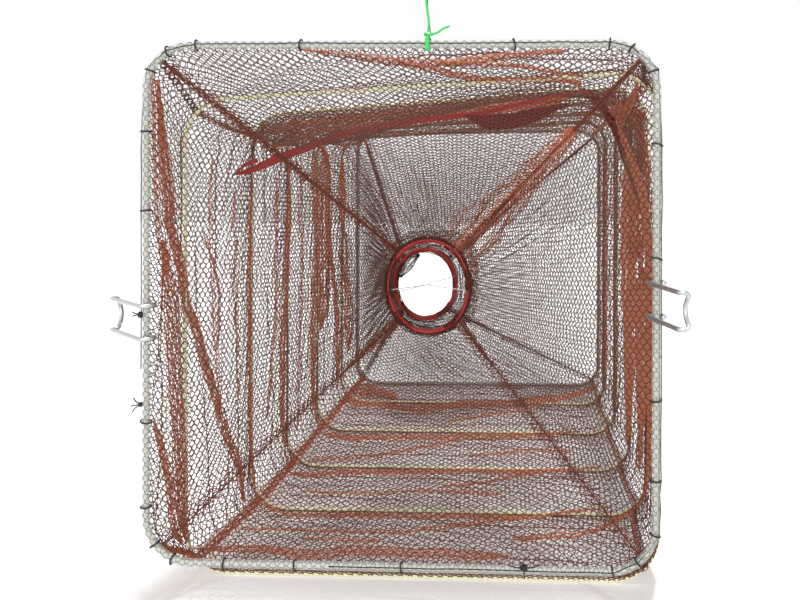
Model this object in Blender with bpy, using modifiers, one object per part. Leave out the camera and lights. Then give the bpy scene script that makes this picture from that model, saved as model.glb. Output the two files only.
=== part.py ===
"""Folding baitfish trap: square wire hoops joined by netting, a net funnel and ring at each end.

Metres, +Z up. The trap's axis is Y and its front mouth faces -Y. The origin is the middle of the
flat underside of hoop_2, the foremost hoop that touches the ground. The hoops behind it slide
forward into a stack, and two wire clips on the front hoop close over the back one.
"""

import math

import bmesh
import bpy
from mathutils import Vector

# Fits
CLEARANCE = 0.0003
EYE_CLEARANCE = 0.0005

# Frames: sizes are over the outside of the tube, heights from the ground. The front one hangs from
# its cord, clear of the ground, and the thin hoops' tops have gone out of level under the nets' pull
FRAME_WIDTH = 0.250
CORNER_RADIUS = 0.024
FRONT_LIFT = 0.0194
FRONT_TOP = 0.2743
FRONT_ACROSS = -0.0057
HOOP_2_LEFT_TOP = 0.250
HOOP_2_RIGHT_TOP = 0.265
HOOPS_ACROSS = 0.007
HOOPS_LEFT_TOP = 0.250
HOOPS_RIGHT_TOP = 0.268
BACK_TOP = 0.262
BAYS = (0.035, 0.086, 0.080, 0.089, 0.092, 0.068)

# Wire and sleeve
SLEEVE_RADIUS = 0.0021
SLEEVE_WALL = 0.0006
SLEEVE_JOINT = 0.0015
CORE_RADIUS = 0.0011
HOOP_RADIUS = 0.00115

# Netting, drawn with fewer and thicker strands than the real 3.5 mm mesh
STRAND = 0.0012
WAISTS = (0, 0.005, 0.005, 0.005, 0.005, 0.002)
WALL_OUTSET = 0.0017

# Slack of the slit's bay: its place round the hoop from the top left corner, how far it hangs in
# there, and how far it spreads before and after
SLACKS = (
    (0.048, 0.021, 0.045, 0.075),
    (0.255, 0.017, 0.035, 0.035),
)

# Funnels
RING_WIDTH = 0.0555
RING_HEIGHT = 0.0628
RING_TUBE = 0.00175
FRONT_RING = Vector((-0.0066, 0.0995, 0.1404))
BACK_RING = Vector((-0.0300, 0.2790, 0.1203))
FUNNEL_SAG = 0.004
SEAM_RADIUS = 0.0009
SEAM_TAPE_GAP = 0.0002
SEAM_SQUARENESS = 0.8

# Bridles, the lines that draw the two rings towards each other and keep the funnels taut
BRIDLE_RADIUS = 0.0003
BRIDLE_LOOP = 0.002
BRIDLE_HOOK = 0.0005
BRIDLE_TILT = math.radians(14)

# Red binding of the emptying slit
TAPE_WIDTH = 0.006
TAPE_THICK = 0.0008

# Clips, given as they lie when closed over the folded trap, and their heights on the front frame
CLIP_WIRE = 0.0011
CLIP_REACH = 0.036
CLIP_SPACING = 0.016
CLIP_BOW = 0.0035
CLIP_BEND = 0.002
CLIP_EYE_TURN = math.radians(250)
LEFT_CLIP_HEIGHT = 0.1190
RIGHT_CLIP_HEIGHT = 0.1316
LEFT_CLIP_OPEN = math.radians(46)
RIGHT_CLIP_OPEN = math.radians(167)

# Lift cord: the knot's place right of the top bar's middle, then the cord's own points above it
CORD_RADIUS = 0.0006
CORD_PLACE = 0.0142
KNOT_RADIUS = 0.0019
KNOT_RISE = 0.55
KNOT_HEIGHT = 0.8
END_KNOT_HEIGHT = 0.9
CORD_ROUTE = (
    (0.0000, 0.0000, 0.000),
    (0.0002, 0.0002, 0.005),
    (-0.0006, 0.0005, 0.011),
    (-0.0013, 0.0004, 0.018),
    (-0.0009, 0.0000, 0.025),
    (-0.0004, -0.0002, 0.032),
    (-0.0002, 0.0000, 0.037),
)
TAIL_ROUTE = (
    (0.0020, -0.0004, 0.0002),
    (0.0045, -0.0008, 0.0012),
    (0.0072, -0.0010, 0.0030),
    (0.0103, -0.0008, 0.0042),
)

# How finely round forms are cut
ARC_STEPS = 4
RING_STEPS = 24
ROUND_SIDES = 8
HIDDEN_SIDES = 6
CUTTER_SIDES = 16
TURN_STEPS = 12
BALL_SEGMENTS = 10
BALL_RINGS = 6
EYE_STEPS = 8
BEND_STEPS = 3
LOOP_STEPS = 6
FLAT = 1 / math.cos(math.pi / ROUND_SIDES)
CELLS_A_SIDE = 6
WALL_ROWS = 2
FUNNEL_COLUMNS = 4
FUNNEL_ROWS = 4

COLOURS = {
    "clear_sleeve": ((0.78, 0.80, 0.74), 0.25, 0.0),
    "galvanised_wire": ((0.62, 0.63, 0.64), 0.35, 1.0),
    "coated_wire": ((0.72, 0.72, 0.48), 0.35, 0.0),
    "brown_net": ((0.22, 0.06, 0.04), 0.70, 0.0),
    "seam_twine": ((0.13, 0.02, 0.02), 0.75, 0.0),
    "red_ring": ((0.38, 0.02, 0.015), 0.40, 0.0),
    "monofilament": ((0.80, 0.82, 0.82), 0.15, 0.0),
    "red_tape": ((0.30, 0.02, 0.03), 0.80, 0.0),
    "green_cord": ((0.06, 0.62, 0.16), 0.60, 0.0),
}


def clear_scene():
    for thing in list(bpy.data.objects):
        bpy.data.objects.remove(thing, do_unlink=True)


def new_collection(name):
    collection = bpy.data.collections.new(name)
    bpy.context.scene.collection.children.link(collection)
    return collection


def make_material(name):
    colour, roughness, metallic = COLOURS[name]
    made = bpy.data.materials.new(name)
    made.use_nodes = True
    shader = made.node_tree.nodes["Principled BSDF"]
    shader.inputs["Base Color"].default_value = (*colour, 1)
    shader.inputs["Roughness"].default_value = roughness
    shader.inputs["Metallic"].default_value = metallic
    made.diffuse_color = (*colour, 1)
    return made


clear_scene()
TRAP = new_collection("baitfish_trap")
CUTTERS = new_collection("cutters")
MATERIALS = {name: make_material(name) for name in COLOURS}


def add(name, data, material, collection=None):
    thing = bpy.data.objects.new(name, data)
    if material:
        data.materials.append(MATERIALS[material])
    (collection or TRAP).objects.link(thing)
    return thing


class Frame:
    """The centre line of one hoop: a rounded square whose top may slope."""

    def __init__(self, across, y, bottom, left_top, right_top, tube):
        half = FRAME_WIDTH / 2 - tube
        self.across = across
        self.y = y
        self.tube = tube
        self.radius = CORNER_RADIUS - tube
        corners = (
            (across - half, bottom + tube),
            (across + half, bottom + tube),
            (across + half, right_top - tube),
            (across - half, left_top - tube),
        )
        self.corners = [Vector(corner) for corner in corners]

    def normal(self, side):
        along = (self.corners[(side + 1) % 4] - self.corners[side]).normalized()
        return Vector((along.y, -along.x))

    def arc(self, corner, share):
        """A point of the arc at a corner, and the outward direction there."""
        before, after = self.normal((corner - 1) % 4), self.normal(corner % 4)
        middle = (before + after).normalized()
        reach = self.radius / middle.dot(before)
        centre = self.corners[corner % 4] - middle * reach
        outward = before.slerp(after, share)
        return centre + outward * self.radius, outward

    def at(self, side, share):
        """A point between the middles of the two arcs that end a side, by share of the way."""
        first, last = self.arc(side, 1)[0], self.arc(side + 1, 0)[0]
        half_arc = self.radius * math.pi / 4
        straight = (last - first).length
        way = share * (2 * half_arc + straight)
        if way < half_arc:
            return self.arc(side, 0.5 + 0.5 * way / half_arc)
        if way > half_arc + straight:
            return self.arc(side + 1, 0.5 * (way - half_arc - straight) / half_arc)
        return first.lerp(last, (way - half_arc) / straight), self.normal(side)

    def place(self, point):
        return Vector((point.x, self.y, point.y))

    def bends(self):
        """The corner arcs' points in order round the hoop, with their outward directions."""
        return [self.arc(corner, step / ARC_STEPS) for corner in range(4) for step in range(ARC_STEPS + 1)]

    def bend_points(self):
        return [point for point, _ in self.bends()]


def hoop_places():
    """The hoops' places along the trap, from the front frame's to the back one's."""
    places = [-BAYS[0]]
    for bay in BAYS:
        places.append(places[-1] + bay)
    return places


HOOP_Y = hoop_places()
FRONT = Frame(FRONT_ACROSS, HOOP_Y[0], FRONT_LIFT, FRONT_TOP, FRONT_TOP, SLEEVE_RADIUS)
SECOND = Frame(0, HOOP_Y[1], 0, HOOP_2_LEFT_TOP, HOOP_2_RIGHT_TOP, HOOP_RADIUS)
MIDDLE = [Frame(HOOPS_ACROSS, y, 0, HOOPS_LEFT_TOP, HOOPS_RIGHT_TOP, HOOP_RADIUS) for y in HOOP_Y[2:-1]]
BACK = Frame(HOOPS_ACROSS, HOOP_Y[-1], 0, BACK_TOP, BACK_TOP, SLEEVE_RADIUS)
HOOPS = [FRONT, SECOND, *MIDDLE, BACK]


def wire(name, points, radius, material, closed=False, sides=ROUND_SIDES):
    """A round wire along points."""
    curve = bpy.data.curves.new(name, "CURVE")
    curve.dimensions = "3D"
    curve.bevel_depth = radius
    curve.bevel_resolution = (sides - 4) // 2
    curve.use_fill_caps = not closed
    spline = curve.splines.new("POLY")
    spline.points.add(len(points) - 1)
    for spot, point in zip(spline.points, points):
        spot.co = (*point, 1)
    spline.use_cyclic_u = closed
    return add(name, curve, material)


def upright(thing, y):
    """Stands a flat loop, drawn in its own XY plane, upright across the trap."""
    thing.rotation_euler = (math.pi / 2, 0, 0)
    thing.location = (0, y, 0)
    thing.data.twist_mode = "Z_UP"
    for spot in thing.data.splines[0].points:
        spot.tilt = math.pi / ROUND_SIDES
    return thing


def hoop(name, frame, radius, material, sides=ROUND_SIDES):
    points = [(*point, 0) for point in frame.bend_points()]
    flat = 1 / math.cos(math.pi / sides)
    return upright(wire(name, points, radius * flat, material, True, sides), frame.y)


def sleeve(name, frame):
    """A slit tube over the hoop's wire, whose two ends meet under the bottom bar."""
    points = [(*point, 0) for point in frame.bend_points()]
    last_of_first_arc = ARC_STEPS + 1
    bottom = frame.corners[0].y
    half = SLEEVE_JOINT / 2
    start, end = (frame.across + half, bottom, 0), (frame.across - half, bottom, 0)
    route = [start, *points[last_of_first_arc:], *points[:last_of_first_arc], end]
    tube = wire(name, route, SLEEVE_RADIUS * FLAT, "clear_sleeve")
    tube.data.use_fill_caps = False
    wall = tube.modifiers.new("wall", "SOLIDIFY")
    wall.thickness = SLEEVE_WALL * FLAT
    wall.offset = -1
    return upright(tube, frame.y)


def oval(centre, share):
    """A point of a ring's centre line, by share of a turn from the bottom left corner."""
    turn = 2 * math.pi * share - 0.75 * math.pi
    across = RING_WIDTH / 2 - RING_TUBE
    up = RING_HEIGHT / 2 - RING_TUBE
    return centre + Vector((across * math.cos(turn), 0, up * math.sin(turn)))


def ring(name, centre):
    loop = [oval(centre, step / RING_STEPS) for step in range(RING_STEPS)]
    points = [(point.x, point.z, 0) for point in loop]
    return upright(wire(name, points, RING_TUBE * FLAT, "red_ring", True), centre.y)


def between(near, far, near_gap, far_gap, share):
    """A point on the straight way from one carrier's centre line to the other's, clear of both."""
    way = (far - near).normalized()
    return (near + way * near_gap).lerp(far - way * far_gap, share)


def arch(share):
    """Rises from 0 to 1 half way, and falls to 0 again."""
    return 4 * share * (1 - share)


def lattice(name, spots, columns, rows, closed):
    """Netting of staggered diamonds over the points spots[column, row], as one sheet of strands."""
    mesh = bpy.data.meshes.new(name)
    shape = bmesh.new()
    made = {}

    def corner(column, row):
        key = (column % columns if closed else column, row)
        if key not in made:
            made[key] = shape.verts.new(spots[key])
        return made[key]

    last = columns - 1 if closed else columns
    for row in range(rows + 1):
        for column in range(last + 1):
            if (column + row) % 2 == 0:
                continue
            around = ((column - 1, row), (column, row - 1), (column + 1, row), (column, row + 1))
            inside = [(c, r) if 0 <= r <= rows and (closed or 0 <= c <= columns) else (column, row)
                      for c, r in around]
            shape.faces.new([corner(c, r) for c, r in inside])
    shape.normal_update()
    cells = list(shape.faces)
    bmesh.ops.inset_individual(shape, faces=cells, thickness=STRAND / 2, use_even_offset=True)
    bmesh.ops.delete(shape, geom=cells, context="FACES")
    shape.to_mesh(mesh)
    shape.free()
    net = add(name, mesh, "brown_net")
    thick = net.modifiers.new("strand", "SOLIDIFY")
    thick.thickness = STRAND
    thick.offset = 0
    return net


def slack_at(frame, point):
    """How far the net of the slit's bay hangs in, by the way round the hoop from its top left corner.

    The bottom bar's net doesn't hang in.
    """
    left, right = frame.corners[3], frame.corners[2]
    way = point.x - left.x
    if point.x < left.x + frame.radius:
        way -= max(0.0, left.y - frame.radius - point.y)
    if point.x > right.x - frame.radius:
        way += max(0.0, right.y - frame.radius - point.y)
    if point.y < frame.radius:
        return 0.0
    hang = 0.0
    for place, depth, before, after in SLACKS:
        hang += depth * math.exp(-(((way - place) / (before if way < place else after)) ** 2))
    return hang


def wall_end(frame, side, share, towards):
    """Where a wall net starts on a hoop, and its gap from there. Towards is 1 on the hoop's far side.

    On a sleeved frame it lies outside the centre line, clear of the funnel.
    """
    start, outward = frame.at(side, share)
    if frame not in (FRONT, BACK):
        return frame.place(start), frame.tube * FLAT + CLEARANCE + STRAND / 4
    reach = frame.tube * FLAT + CLEARANCE + STRAND / 2
    along = math.sqrt(reach * reach - WALL_OUTSET * WALL_OUTSET)
    return frame.place(start + outward * WALL_OUTSET) + Vector((0, towards * along, 0)), 0


def drawn_in(near, far, side, share, along, slack):
    """A point of a wall net, which is drawn in between its two hoops."""
    start, outward = near.at(side, share)
    near_end, near_gap = wall_end(near, side, share, 1)
    far_end, far_gap = wall_end(far, side, share, -1)
    point = between(near_end, far_end, near_gap, far_gap, along)
    depth = WAISTS[HOOPS.index(near)] + (slack_at(near, start) if slack else 0)
    depth *= arch(along)
    return point - Vector((outward.x, 0, outward.y)) * depth


def wall_net(name, near, far, slack=False):
    spots = {}
    columns = 4 * CELLS_A_SIDE
    for column in range(columns):
        side, cell = divmod(column, CELLS_A_SIDE)
        for row in range(WALL_ROWS + 1):
            along = row / WALL_ROWS
            spots[column, row] = drawn_in(near, far, side, cell / CELLS_A_SIDE, along, slack)
    return lattice(name, spots, columns, WALL_ROWS, closed=True)


def funnel_panel(name, frame, centre, side):
    """One of the four net panels from a frame to its ring, hanging a little inwards half way."""
    hoop_gap = frame.tube * FLAT + CLEARANCE
    ring_gap = RING_TUBE * FLAT + CLEARANCE + STRAND / 2
    margin = (SEAM_RADIUS * FLAT + CLEARANCE + SEAM_TAPE_GAP) / SEAM_SQUARENESS
    spots = {}
    for column in range(FUNNEL_COLUMNS + 1):
        share = column / FUNNEL_COLUMNS
        for row in range(FUNNEL_ROWS + 1):
            ends = []
            for edge in (0, share, 1):
                near = frame.place(frame.at(side, edge)[0])
                far = oval(centre, (side + edge) / 4)
                ends.append(between(near, far, hoop_gap, ring_gap, row / FUNNEL_ROWS))
            inward = (ends[2] - ends[0]).normalized() * margin * (1 - 2 * share)
            normal = frame.normal(side)
            along = row / FUNNEL_ROWS
            sag = FUNNEL_SAG * arch(along) * arch(share)
            spots[column, row] = ends[1] + inward - Vector((normal.x, 0, normal.y)) * sag
    return lattice(name, spots, FUNNEL_COLUMNS, FUNNEL_ROWS, closed=False)


def funnel_seam(name, frame, centre, corner):
    near = frame.place(frame.at(corner, 0)[0])
    far = oval(centre, corner / 4)
    ends = [between(near, far, frame.tube * FLAT + CLEARANCE, RING_TUBE * FLAT + CLEARANCE, share)
            for share in (0, 1)]
    return wire(name, ends, SEAM_RADIUS, "seam_twine")


def funnel(end, frame, centre):
    sides = ("bottom", "right", "top", "left")
    corners = ("bottom_left", "bottom_right", "top_right", "top_left")
    panels = {}
    for number in range(4):
        panels[sides[number]] = funnel_panel(f"{end}_funnel_{sides[number]}", frame, centre, number)
        funnel_seam(f"{end}_seam_{corners[number]}", frame, centre, number)
    return panels


def bridle(name, centre, middle, tilt, level):
    """A loop of line from one side of a ring to a bend at the middle and back to its other side."""
    towards = 1 if middle.y > centre.y else -1
    across = RING_WIDTH / 2 - RING_TUBE
    up = RING_HEIGHT / 2 - RING_TUBE
    start_gap = RING_TUBE * FLAT + CLEARANCE + BRIDLE_RADIUS
    bend = Vector((1, 0, 0)) if level else Vector((0, 0, 1))
    points = []
    for hand in (-1, 1):
        held = centre + Vector((hand * across * math.cos(tilt), 0, hand * up * math.sin(tilt)))
        knee = middle + bend * hand * BRIDLE_LOOP - Vector((0, towards * BRIDLE_LOOP, 0))
        way = (knee - held).normalized()
        leg = [held + way * start_gap, held.lerp(knee, 0.5), knee]
        points.append(leg)
    around = []
    for step in range(1, LOOP_STEPS):
        turn = math.pi * step / LOOP_STEPS
        around.append(middle + bend * (-BRIDLE_LOOP * math.cos(turn))
                      + Vector((0, towards * BRIDLE_LOOP * math.sin(turn), 0)))
    route = [*points[0], *around, *reversed(points[1])]
    return wire(name, route, BRIDLE_RADIUS, "monofilament", sides=HIDDEN_SIDES)


def bridles():
    """The two bends hook through each other half way between the rings."""
    middle = (FRONT_RING + BACK_RING) / 2
    past = Vector((0, BRIDLE_HOOK, 0))
    bridle("front_bridle", FRONT_RING, middle - past, 0, level=True)
    bridle("back_bridle", BACK_RING, middle + past, BRIDLE_TILT, level=False)


def slit_tape(name):
    """The red binding of the emptying slit, along the drawn-in middle of its bay."""
    near, far = HOOPS[1], HOOPS[2]
    inside = STRAND + 2 * CLEARANCE + TAPE_THICK
    half = (TAPE_WIDTH / 2) / (far.y - near.y)
    places = []
    for column in range(4 * CELLS_A_SIDE):
        side, cell = divmod(column, CELLS_A_SIDE)
        places.append((side, cell / CELLS_A_SIDE))
    first = places.index((1, 5 / CELLS_A_SIDE))
    last = places.index((3, 1 / CELLS_A_SIDE))
    mesh = bpy.data.meshes.new(name)
    shape = bmesh.new()
    edges = []
    for side, share in places[first:last + 1]:
        _, outward = near.at(side, share)
        inward = Vector((-outward.x, 0, -outward.y)) * inside
        edges.append([shape.verts.new(drawn_in(near, far, side, share, 0.5 + hand * half, True) + inward)
                      for hand in (-1, 1)])
    for one, other in zip(edges, edges[1:]):
        shape.faces.new((one[0], one[1], other[1], other[0]))
    shape.to_mesh(mesh)
    shape.free()
    tape = add(name, mesh, "red_tape")
    thick = tape.modifiers.new("thickness", "SOLIDIFY")
    thick.thickness = TAPE_THICK
    thick.offset = 0
    return tape


EYE_RADIUS = SLEEVE_RADIUS * FLAT + EYE_CLEARANCE + CLIP_WIRE


def clip_half():
    """The clip's wire from the end of its upper eye to the middle of its crosspiece, when closed.

    X points inwards over the trap, Y along the legs, and the eye turns about the Z axis.
    """
    points = []
    half = CLIP_SPACING / 2
    for step in range(EYE_STEPS + 1):
        turn = CLIP_EYE_TURN * (1 - step / EYE_STEPS)
        points.append((-EYE_RADIUS * math.cos(turn), -EYE_RADIUS * math.sin(turn), half))
    leg_end = CLIP_REACH - CLIP_BEND
    cross_half = half - CLIP_BEND
    for step in range(BEND_STEPS + 1):
        turn = math.pi / 2 * step / BEND_STEPS
        inward = -EYE_RADIUS + CLIP_BEND * (1 - math.cos(turn))
        points.append((inward, leg_end + CLIP_BEND * math.sin(turn), half))
    for step in range(1, BEND_STEPS + 1):
        turn = math.pi / 2 * step / BEND_STEPS
        inward = -EYE_RADIUS + CLIP_BEND * (1 + math.sin(turn))
        points.append((inward, CLIP_REACH, cross_half + CLIP_BEND * math.cos(turn)))
    for share in (2 / 3, 1 / 3):
        bow = CLIP_BOW * (1 - share * share)
        points.append((-EYE_RADIUS + 2 * CLIP_BEND, CLIP_REACH - bow, cross_half * share))
    return points


def clip(name, hand, height, opened):
    """One wire clip, hand -1 on the left bar and 1 on the right."""
    upper = clip_half()
    lower = [(x, y, -z) for x, y, z in reversed(upper)]
    route = [(-hand * x, y, z) for x, y, z in upper + lower]
    made = wire(name, route, CLIP_WIRE, "galvanised_wire")
    across = FRONT.across + hand * (FRAME_WIDTH / 2 - SLEEVE_RADIUS)
    made.location = (across, FRONT.y, FRONT_LIFT + height)
    made.rotation_euler = (0, 0, -hand * opened)
    return made


def cutter(name, radius, length, place, along_x):
    mesh = bpy.data.meshes.new(name)
    shape = bmesh.new()
    bmesh.ops.create_cone(
        shape, cap_ends=True, segments=CUTTER_SIDES, radius1=radius, radius2=radius, depth=length)
    shape.to_mesh(mesh)
    shape.free()
    made = add(name, mesh, None, CUTTERS)
    made.location = place
    if along_x:
        made.rotation_euler = (0, math.pi / 2, 0)
    made.hide_render = True
    made.display_type = "WIRE"
    return made


def pierce(net, tool):
    cut = net.modifiers.new(tool.name, "BOOLEAN")
    cut.operation = "DIFFERENCE"
    cut.object = tool


def clips(wall, panels):
    """The clips, and the places where their eyes pass through the net."""
    across = EYE_RADIUS + CLIP_WIRE + CLEARANCE
    tall = CLIP_SPACING + 2 * (CLIP_WIRE + CLEARANCE)
    for hand, side, height, opened in (
        (-1, "left", LEFT_CLIP_HEIGHT, LEFT_CLIP_OPEN),
        (1, "right", RIGHT_CLIP_HEIGHT, RIGHT_CLIP_OPEN),
    ):
        made = clip(f"{side}_clip", hand, height, opened)
        tool = cutter(f"{side}_eye_hole", across, tall, made.location, along_x=False)
        pierce(wall, tool)
        pierce(panels[side], tool)


def ball(name, centre, radius, height_share, material):
    mesh = bpy.data.meshes.new(name)
    shape = bmesh.new()
    bmesh.ops.create_uvsphere(shape, u_segments=BALL_SEGMENTS, v_segments=BALL_RINGS, radius=radius)
    for spot in shape.verts:
        spot.co.z *= height_share
    shape.to_mesh(mesh)
    shape.free()
    made = add(name, mesh, material)
    made.location = centre
    return made


def lift_cord(wall, panels):
    """The green cord: a turn round the top bar with its knot, the cord above it and its short tail."""
    top = FRONT.corners[2].y
    bar = Vector((FRONT.across + CORD_PLACE, FRONT.y, top))
    turn_radius = SLEEVE_RADIUS * FLAT + CLEARANCE + CORD_RADIUS * FLAT
    corner_radius = turn_radius / math.cos(math.pi / TURN_STEPS)
    knot_centre = bar + Vector((0, 0, turn_radius + KNOT_RADIUS * KNOT_RISE))
    loop = []
    for step in range(TURN_STEPS):
        turn = 2 * math.pi * step / TURN_STEPS
        loop.append(bar + Vector((0, math.cos(turn), math.sin(turn))) * corner_radius)
    guide = wire("turn_guide", loop, CORD_RADIUS, None, True)
    mesh = bpy.data.meshes.new_from_object(guide.evaluated_get(bpy.context.evaluated_depsgraph_get()))
    mesh.name = "lift_cord_turn"
    turn_tool = add("knot_turn", mesh, None, CUTTERS)
    turn_tool.hide_render = True
    turn_tool.display_type = "WIRE"
    bpy.data.objects.remove(guide, do_unlink=True)
    knot = ball("lift_cord_knot", knot_centre, KNOT_RADIUS, KNOT_HEIGHT, "green_cord")
    join = knot.modifiers.new("turn", "BOOLEAN")
    join.operation = "UNION"
    join.object = turn_tool
    hole = cutter("cord_hole", corner_radius + CORD_RADIUS + CLEARANCE, 2 * (CORD_RADIUS + CLEARANCE),
                  bar, along_x=True)
    pierce(wall, hole)
    pierce(panels["top"], hole)
    start = knot_centre + Vector((0, 0, KNOT_RADIUS * KNOT_HEIGHT + CLEARANCE))
    wire("lift_cord", smooth([start + Vector(point) for point in CORD_ROUTE]), CORD_RADIUS, "green_cord")
    tail = smooth([knot_centre + Vector(point) + Vector((CLEARANCE, 0, 0)) for point in TAIL_ROUTE])
    wire("lift_cord_tail", tail, CORD_RADIUS, "green_cord")
    end = start + Vector(CORD_ROUTE[-1]) + Vector((0, 0, CLEARANCE + KNOT_RADIUS * END_KNOT_HEIGHT))
    ball("lift_cord_end_knot", end, KNOT_RADIUS, END_KNOT_HEIGHT, "green_cord")


def smooth(points):
    """A curve through points, with a point about every three diameters."""
    step = 6 * CORD_RADIUS
    padded = [points[0] * 2 - points[1], *points, points[-1] * 2 - points[-2]]
    route = []
    for one, two, three, four in zip(padded, padded[1:], padded[2:], padded[3:]):
        pieces = max(1, round((three - two).length / step))
        for number in range(pieces):
            t = number / pieces
            bend = 2 * two + (three - one) * t + (2 * one - 5 * two + 4 * three - four) * t * t
            route.append((bend + (3 * two - one - 3 * three + four) * t * t * t) / 2)
    return [*route, points[-1]]


def build():
    sleeve("front_hoop_sleeve", FRONT)
    hoop("front_hoop_wire", FRONT, CORE_RADIUS, "galvanised_wire", HIDDEN_SIDES)
    sleeve("back_hoop_sleeve", BACK)
    hoop("back_hoop_wire", BACK, CORE_RADIUS, "galvanised_wire", HIDDEN_SIDES)
    for number, frame in enumerate([SECOND, *MIDDLE], start=2):
        hoop(f"hoop_{number}", frame, HOOP_RADIUS, "coated_wire")
    walls = {}
    for number, (near, far) in enumerate(zip(HOOPS, HOOPS[1:]), start=1):
        walls[number] = wall_net(f"wall_net_{number}", near, far, slack=number == 2)
    ring("front_ring", FRONT_RING)
    ring("back_ring", BACK_RING)
    front_panels = funnel("front", FRONT, FRONT_RING)
    funnel("back", BACK, BACK_RING)
    bridles()
    slit_tape("slit_tape")
    clips(walls[1], front_panels)
    lift_cord(walls[1], front_panels)


build()
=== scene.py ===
"""Looks of the folding baitfish trap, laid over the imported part: real netting, seams, lashings and cord."""

from math import atan2, ceil, copysign, cos, hypot, pi, radians, sin

import bpy
import numpy as np
from mathutils import Matrix, Vector


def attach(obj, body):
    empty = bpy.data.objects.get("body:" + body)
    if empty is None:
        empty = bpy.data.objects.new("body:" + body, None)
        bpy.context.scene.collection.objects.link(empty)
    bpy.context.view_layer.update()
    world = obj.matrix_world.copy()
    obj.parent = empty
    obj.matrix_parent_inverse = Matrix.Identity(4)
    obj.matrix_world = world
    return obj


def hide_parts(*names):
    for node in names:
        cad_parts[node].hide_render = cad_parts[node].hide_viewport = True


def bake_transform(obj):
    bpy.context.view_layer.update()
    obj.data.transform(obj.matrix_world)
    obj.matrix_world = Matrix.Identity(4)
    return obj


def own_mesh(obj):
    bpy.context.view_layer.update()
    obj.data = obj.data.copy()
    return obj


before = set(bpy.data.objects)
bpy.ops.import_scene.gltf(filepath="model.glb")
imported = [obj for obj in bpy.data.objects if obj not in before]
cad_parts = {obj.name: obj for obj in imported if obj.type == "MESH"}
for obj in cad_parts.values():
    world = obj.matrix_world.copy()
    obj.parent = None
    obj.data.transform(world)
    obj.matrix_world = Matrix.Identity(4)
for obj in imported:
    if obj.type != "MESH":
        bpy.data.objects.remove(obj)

rng = np.random.default_rng(7)
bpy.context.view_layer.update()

# Camera, fitted to the corners of the hoops
CAMERA_PLACE = (0.0546, -0.4306, 0.2048)
CAMERA_TURN = (radians(-0.3), radians(-0.16), radians(2.37))
LENS = 37.39
SHIFT = (-0.1125, -0.1375)
SENSOR = 36
PICTURE = (800, 600)
FOCAL = LENS / SENSOR * PICTURE[0]
CENTRE_PIXEL = (PICTURE[0] * (0.5 - SHIFT[0]), PICTURE[1] / 2 + PICTURE[0] * SHIFT[1])

# The way back through the trap, and how often a depth in it is halved to find a place
DEEP = np.array([0.0, 1.0, 0.0])
HALVINGS = 20

# Radii: the frames' clear sleeve, the hoops' wire in the part and as drawn, and the wire in the sleeves
SLEEVE = 0.0021
WIRE = 0.00115
BARE_WIRE = 0.0010
CORE = 0.0011

# Hoops: across, y, bottom, left top, right top, tube radius, body
HOOP_STEPS = 320
WIDTH = 0.250
CORNER = 0.024
HOOPS = (
    (-0.0057, -0.035, 0.0194, 0.2743, 0.2743, SLEEVE, "front_frame"),
    (0.0, 0.0, 0.0, 0.250, 0.265, WIRE, "hoop_2"),
    *((0.007, y, 0.0, 0.250, 0.268, WIRE, f"hoop_{number}")
      for number, y in enumerate((0.086, 0.166, 0.255, 0.347), start=3)),
    (0.007, 0.415, 0.0, 0.262, 0.262, SLEEVE, "back_frame"),
)

# Rings
RING_WIDTH = 0.0555
RING_HEIGHT = 0.0628
RING_TUBE = 0.00175
RING_STEPS = 96
FRONT_RING = Vector((-0.0066, 0.0995, 0.1404))
BACK_RING = Vector((-0.0300, 0.2790, 0.1203))

# Netting: half a mesh along the hoop and across it, half a joint, its strand's radius, how far outside the
# middle of a hoop's wire it runs, and the share of a bay over which it comes off the wire
MESH_ALONG = 0.0026
MESH_ACROSS = 0.0017
JOINT = 0.0005
STRAND = 0.00027
OUTSIDE = WIRE - STRAND
COMES_OFF = 0.1

# The pleat tucked in at each corner: its width, and how far its layers lie apart
PLEAT = 0.005
PLEAT_LIFT = 0.0005

# Unevenness: its waves and their usual peak, then how fast it changes round and along, and its size, and
# the value past which a patch of net is mixed in colour
SWAY_WAVES = 6
SWAY_PEAK = 2.5
WALL_SWAY = (6.28, 2, 0.0004)
FUNNEL_SWAY = (5, 0.5, 0.0006)
PATCHES = (5, 0.8, 1)
PATCHY = 0.35

# How far each bay's net is drawn in, at the bottom, right, top and left, the share of the way round a hoop
# from a corner within which that changes, and the powers of its curve
DRAWN = (
    (0.0010, -0.0008, 0.0015, 0.0010),
    (0.0042, 0.0030, 0.0040, 0.0060),
    (0.0042, 0.0050, 0.0040, 0.0055),
    (0.0038, 0.0060, 0.0040, 0.0048),
    (0.0034, 0.0060, 0.0040, 0.0048),
    (0.0024, 0.0030, 0.0025, 0.0030),
)
CORNER_SHARE = 0.03
BACKWARD = 1.5
FORWARD = 1.0

# Slack of the slit's bay: place round the hoop from the top left corner, depth, spread before and after
SLACKS = (
    (0.048, 0.021, 0.045, 0.075),
    (0.255, 0.017, 0.035, 0.035),
)

# Creases: how many a metre of the trap has, where across a bay, their slant, how far they draw the net
# together and over what width, how far they reach as a share of the way round, and their waves
CREASES_A_METRE = 333
CREASE_PLACES = (0.08, 0.95)
CREASE_LEAN = 0.05
CREASE_PULL = 0.0030
CREASE_WIDTH = 0.0026
CREASE_REACH = (0.018, 0.063)
CREASE_WAVE = 0.001
CREASE_WAVES = 40

# The sides, and the corners at which they start
SIDES = ("bottom", "right", "top", "left")
CORNERS = ("bottom_left", "bottom_right", "top_right", "top_left")

# Folds: the widest, how wide its ends are and how fast it widens, a length by which its scale in the picture
# is found, how far apart its strands show and how long each is in pixels
WIDEST_FOLD = 0.075
FOLD_ENDS = 0.1
FOLD_WIDENS = 7
PROBE = 0.002
STRAND_PIXELS = 0.5
STEP_PIXELS = 2.4

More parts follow.
